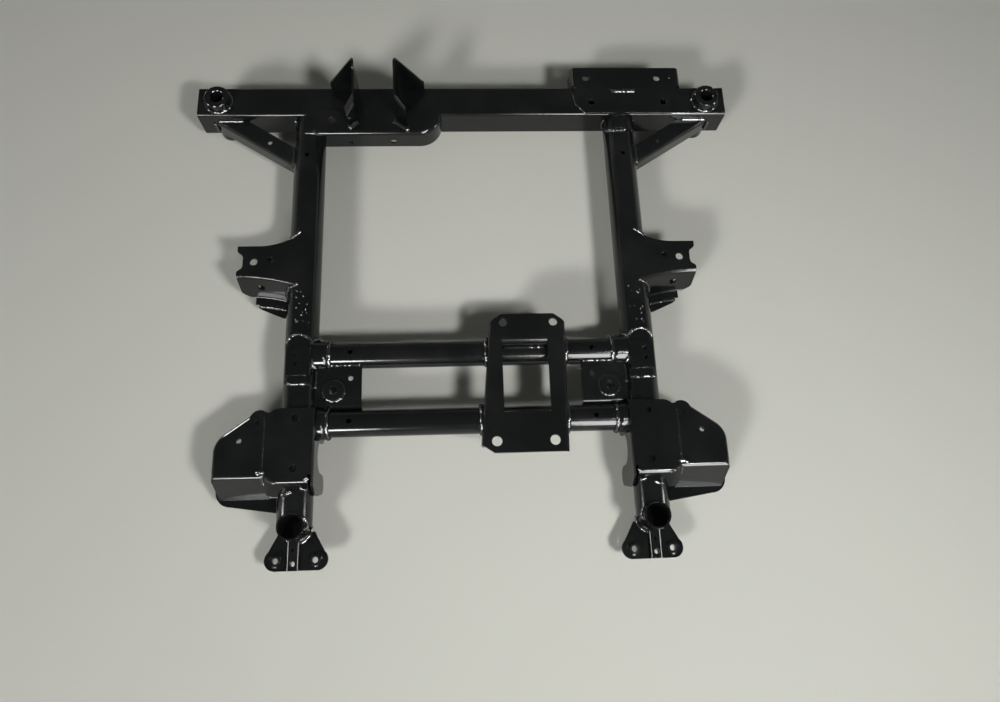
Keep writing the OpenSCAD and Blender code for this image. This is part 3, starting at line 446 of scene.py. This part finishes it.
for side_name, side in SIDES.items():
    weld(f"{side_name}_pad", bead(on_side(side, pad_seam)), bead(on_side(side, pad_lap)))
    weld(f"{side_name}_bush", bead(on_side(side, bush_row)), bead(on_side(side, bush_rail)),
         bead(on_side(side, bush_ring), closed=True))

# %% [markdown]
# The centre plate's skirts sit over the cross tubes, with a bead on the outside of each, and the rolled
# flanges of its window stand on the tubes with a long row along their feet. Each arch is the upper half of a
# ring round its tube, so it needs no points set by hand.

# %% Centre plate welds
TUBE_TOP = RAIL_Z + TUBE_R
SKIRTS = ((20.6, REAR_TUBE_Y), (135.4, REAR_TUBE_Y), (11.6, FRONT_TUBE_Y), (133.2, FRONT_TUBE_Y))
arches = [arc("X", (x, y, RAIL_Z), TUBE_R + 1.2, 5, 175) for x, y in SKIRTS]
rows = [[(x, y, z) for x in (46, 104)]
        for y, z in ((REAR_TUBE_Y + 1.5, TUBE_TOP + 0.4), (FRONT_TUBE_Y + 8.5, TUBE_TOP - 1.6))]
weld("centre_plate", *[bead(seam, size=1.3) for seam in arches], *[bead(seam) for seam in rows])

# %% [markdown]
# A saddle and its spring shell meet in a heavy weld at the front corner, with a run down the wall and one
# along the front edge. Two dabs close the slit in the saddle's front inner corner, a fine bead seals the seam
# between the two tops and the front wall has a bead on the rail. These seams are short and no two are alike,
# so each line gives its own path and the bead's size.

# %% Saddle welds
TOP = span("right_saddle")[1].z
SADDLE_SEAMS = (
    ([(292.3, -559.5, TOP + 0.3), (287.5, -555.8, TOP + 0.4), (281.5, -556.8, TOP + 0.3)], 1.2),
    ([(285.6, -559.5, TOP), (285.4, -571, TOP - 14)], 1.1),
    ([(279.5, -564.5, TOP - 0.5), (274, -569, TOP - 1), (267, -571.5, TOP - 1.5)], 0.9),
    ([(229.5, -570, TOP + 0.3), (222.5, -565.5, TOP + 0.3)], 0.9),
    ([(234.5, -577.5, TOP - 4), (226, -580.5, TOP - 5)], 0.9),
    ([(285.2, -482, TOP - 0.5), (285.2, -553, TOP - 0.5)], 0.33),
    ([(259, -586.5, rail_top(259)), (252, -585, rail_top(252)), (245, -583, rail_top(245))], 1.0),
)
for side_name, side in SIDES.items():
    weld(f"{side_name}_saddle", *[bead(on_side(side, seam), size=size) for seam, size in SADDLE_SEAMS])

# %% [markdown]
# A post has a bead round the front of its foot, from side to side, and one on the end of its rail. A nut
# could have a full ring too, but a weld nut is only tacked, so it gets three short arcs.

# %% Post and foot welds
post_low, post_high = span("right_post")
POST = (post_low + post_high) / 2
POST_R = (post_high.x - post_low.x) / 2
FOOT_TOP = span("right_foot_plate")[1].z
nuts_low, nuts_high = span("foot_weld_nuts")
NUT_R = (nuts_high.y - nuts_low.y) / 2
NUT_Y = (nuts_high.y + nuts_low.y) / 2
NUT_OFF = nuts_high.x - NUT_R - RAIL_X
TACK_TURN = 35
foot_ring = arc("Z", (POST.x, POST.y, FOOT_TOP + 0.8), POST_R + 0.9, 170, 345)
post_side = [(p.x, p.y, rail_top(p.x, 0.6) if abs(p.x - RAIL_X) < RAIL_R else RAIL_Z)
             for p in arc("Z", (POST.x, POST.y, 0), POST_R + 0.9, 140, 190, 8)]
tacks = [arc("Z", (RAIL_X + off, NUT_Y, FOOT_TOP + 0.4), NUT_R + 0.5, turn, turn + TACK_TURN, 6)
         for off in (-NUT_OFF, NUT_OFF) for turn in (15, 135, 255)]
for side_name, side in SIDES.items():
    weld(f"{side_name}_foot", bead(on_side(side, foot_ring), size=1.1), bead(on_side(side, post_side)),
         *[bead(on_side(side, tack), size=0.7) for tack in tacks])

# %% [markdown]
# Welding throws small drops that stick to the tubes beside a joint and are painted over. A plain ball would
# seem to lie loose on the tube, so one drop starts as a small ball, is flattened, and has its lower part
# spread out as it did on landing.

# %% One drop of spatter
DROP_FLAT = 0.8
DROP_SPREAD = 1.25
SPREAD_BELOW_MM = 0.3
bpy.ops.object.select_all(action="DESELECT")
bpy.ops.mesh.primitive_ico_sphere_add(subdivisions=2, radius=MM, enter_editmode=True)
bpy.ops.transform.resize(value=(1, 1, DROP_FLAT), center_override=(0, 0, 0))
bpy.ops.mesh.select_all(action="DESELECT")
bpy.ops.object.mode_set(mode="OBJECT")
drop = bpy.context.object
for corner in drop.data.vertices:
    corner.select = corner.co.z < SPREAD_BELOW_MM * MM
bpy.ops.object.mode_set(mode="EDIT")
bpy.ops.transform.resize(value=(DROP_SPREAD, DROP_SPREAD, 1), center_override=(0, 0, 0))
bpy.ops.object.mode_set(mode="OBJECT")
print("one drop is", [round(side / MM, 2) for side in drop.dimensions], "mm")

# %% [markdown]
# The drop is copied to places on the top of each rail between the arm bracket and the pad, and sunk by about
# half. Real drops lie where chance put them, so places and sizes are drawn from the same seeded wobble as the
# beads. Setting each by hand would give the same look for more work.

# %% Weld spatter
DROPS = 16
SPATTER_X = (RAIL_X - 13, RAIL_X + 8)
SPATTER_Y = (-352, -292)
DROP_SIZES = (0.6, 1.2)
for side_name, side in SIDES.items():
    drops = []
    for _ in range(DROPS):
        only(drop)
        bpy.ops.object.duplicate()
        fleck = bpy.context.object
        x = wobble.uniform(*SPATTER_X)
        fleck.location = spot(side * x, wobble.uniform(*SPATTER_Y), rail_top(x, 0.2))
        fleck.scale = [wobble.uniform(*DROP_SIZES)] * 3
        bpy.ops.object.transform_apply(location=True, rotation=True, scale=True)
        drops.append(fleck)
    weld(f"{side_name}_spatter", *drops)
bpy.data.objects.remove(drop)

# %% [markdown]
# The floor is plain pale concrete, dusty enough to show no gloss, and big enough to fill any picture. It lies
# just under the lowest point. A plain plane would turn dark far from the lamps, so out there it becomes an
# even pale backdrop for any ray that looks at it, straight or in a reflection. Rays that only carry light
# still find the plain concrete, so the backdrop can be mirrored but lights nothing. Lengths are in metres.

# %% Floor
BACKDROP = linear("#B4B4AD")
BACKDROP_FROM, BACKDROP_FULL = 1.25, 2.5
FLOOR_WIDTH = 80
FLOOR_UNDER = 0.0002


def looked_at(tree, share):
    """Keeps a share for rays that look at a surface, and makes it 0 for rays that only carry light."""
    rays = add_node(tree, "ShaderNodeLightPath")
    seen = rays.outputs["Is Camera Ray"]
    for operation, output in (("MAXIMUM", rays.outputs["Is Glossy Ray"]),
                              ("MAXIMUM", rays.outputs["Is Transmission Ray"]), ("MULTIPLY", share)):
        step = add_node(tree, "ShaderNodeMath", {"operation": operation}, {0: seen, 1: output})
        seen = step.outputs["Value"]
    return seen


made, tree, shader = new_material("pale_concrete")
shader.inputs["Base Color"].default_value = linear("#CFCFC6")
shader.inputs["Roughness"].default_value = 0.9
shader.inputs["Specular IOR Level"].default_value = 0
where = add_node(tree, "ShaderNodeTexCoord")
away = add_node(tree, "ShaderNodeVectorMath", {"operation": "LENGTH"}, {"Vector": where.outputs["Object"]})
fade = add_node(
    tree, "ShaderNodeMapRange",
    {"interpolation_type": "SMOOTHSTEP", "From Min": BACKDROP_FROM, "From Max": BACKDROP_FULL},
    {"Value": away.outputs["Value"]})
glow = add_node(tree, "ShaderNodeEmission", {"Color": BACKDROP})
far_floor = looked_at(tree, fade.outputs["Result"])
ground = add_node(tree, "ShaderNodeMixShader", links={
    "Fac": far_floor, 1: shader.outputs["BSDF"], 2: glow.outputs["Emission"]})
tree.links.new(tree.nodes["Material Output"].inputs["Surface"], ground.outputs["Shader"])
bpy.ops.object.select_all(action="DESELECT")
bpy.ops.mesh.primitive_plane_add(size=FLOOR_WIDTH, location=(0, 0, cad_box[0][2] - FLOOR_UNDER))
floor = bpy.context.object
floor.name = "floor"
floor.data.materials.append(made)
print("floor at", round(floor.location.z, 5))

# %% [markdown]
# Two lamps light it. A small near one stands in front, to the right, and a big far one in front, to the left,
# so the rails throw a shadow to either side. Glossy black paint mostly shows what stands around it, so pale
# screens are placed where the bends look: two in front, one far behind on the left, and one at either side of
# the feet. They show in reflections only and don't light the floor. Each line gives a place and a size in
# metres, a power in watts and the angle in degrees that the light fans out to.

# %% Lamps and screens
LAMPS = {
    "near": ((0.81, -1.01, 1.65), (0.35, 0.2), 13.8, 140),
    "far": ((-2.16, -3.1, 2.63), (1.0, 0.6), 29, 100),
}
SCREENS = {
    "front_left": ((-0.93, -3.2, 1.5), (0.75, 0.7), 60, 180),
    "front_right": ((1.15, -3.2, 1.75), (1.2, 2.5), 150, 180),
    "window": ((-11.1, 11.5, 3.4), (1.1, 6.2), 750, 180),
    "side_left": ((-2.2, -0.26, 0.65), (0.3, 0.45), 10, 180),
    "side_right": ((2.2, -0.26, 0.65), (0.3, 0.45), 12, 180),
}
for name, (place, (wide, high), power, spread) in {**LAMPS, **SCREENS}.items():
    lamp = bpy.data.lights.new("lamp_" + name, "AREA")
    lamp.shape = "RECTANGLE"
    lamp.size, lamp.size_y = wide, high
    lamp.energy = power
    lamp.spread = math.radians(spread)
    holder = bpy.data.objects.new("lamp_" + name, lamp)
    holder.location = place
    holder.rotation_euler = (-Vector(place)).to_track_quat("-Z", "Y").to_euler()
    holder.visible_diffuse = name in LAMPS
    bpy.context.collection.objects.link(holder)
print("lamps", list(LAMPS), "screens", list(SCREENS))

# %% [markdown]
# A dim grey sky fills the shadows. A plain one would show a dark edge above the floor, so low down, for rays
# that look at it, it turns into the same pale backdrop. The height of a ray is the Z of its direction: 0 is
# level, 1 is straight up.

# %% Sky
SKY_STRENGTH = 0.1
PALE_BELOW, DIM_ABOVE = 0.05, 0.36
sky = bpy.data.worlds.new("sky")
bpy.context.scene.world = sky
sky.use_nodes = True
tree = sky.node_tree
dim = tree.nodes["Background"]
dim.inputs["Color"].default_value = linear("#F2F5F4")
dim.inputs["Strength"].default_value = SKY_STRENGTH
where = add_node(tree, "ShaderNodeTexCoord")
ray = add_node(tree, "ShaderNodeSeparateXYZ", links={"Vector": where.outputs["Generated"]})
fade = add_node(
    tree, "ShaderNodeMapRange",
    {"interpolation_type": "SMOOTHSTEP", "From Min": PALE_BELOW, "From Max": DIM_ABOVE,
     "To Min": 1, "To Max": 0},
    {"Value": ray.outputs["Z"]})
pale = add_node(tree, "ShaderNodeBackground", {"Color": BACKDROP})
low_sky = looked_at(tree, fade.outputs["Result"])
dome = add_node(tree, "ShaderNodeMixShader", links={
    "Fac": low_sky, 1: dim.outputs["Background"], 2: pale.outputs["Background"]})
tree.links.new(tree.nodes["World Output"].inputs["Surface"], dome.outputs["Shader"])
print("sky strength", SKY_STRENGTH)

# %% [markdown]
# The camera stands where the photograph was taken: a little over a metre above the floor, just in front of
# the frame, looking down at it. It could be set by eye, but the frame's left and right are mirror images, and
# pairs of matching points in the picture give its place in millimetres and its turn in degrees.

# %% Camera
CAMERA_PLACE = (-18.24, -712.6, 1035.4)
CAMERA_TURN = (17.291, -2.590, -2.028)
PICTURE_WIDTH = 1000
FOCAL_PIXELS = 759.54
lens = bpy.data.cameras.new("camera")
lens.sensor_fit = "HORIZONTAL"
lens.sensor_width = 36
lens.lens = FOCAL_PIXELS * lens.sensor_width / PICTURE_WIDTH
camera = bpy.data.objects.new("camera", lens)
camera.location = spot(*CAMERA_PLACE)
camera.rotation_euler = [math.radians(a) for a in CAMERA_TURN]
bpy.context.collection.objects.link(camera)
bpy.context.scene.camera = camera
bpy.context.scene.view_settings.view_transform = "Standard"
print("camera lens", round(lens.lens, 2), "mm")

# %% [markdown]
# The pattern wave has done its work and is removed.

# %% Finish
bpy.data.objects.remove(wave)
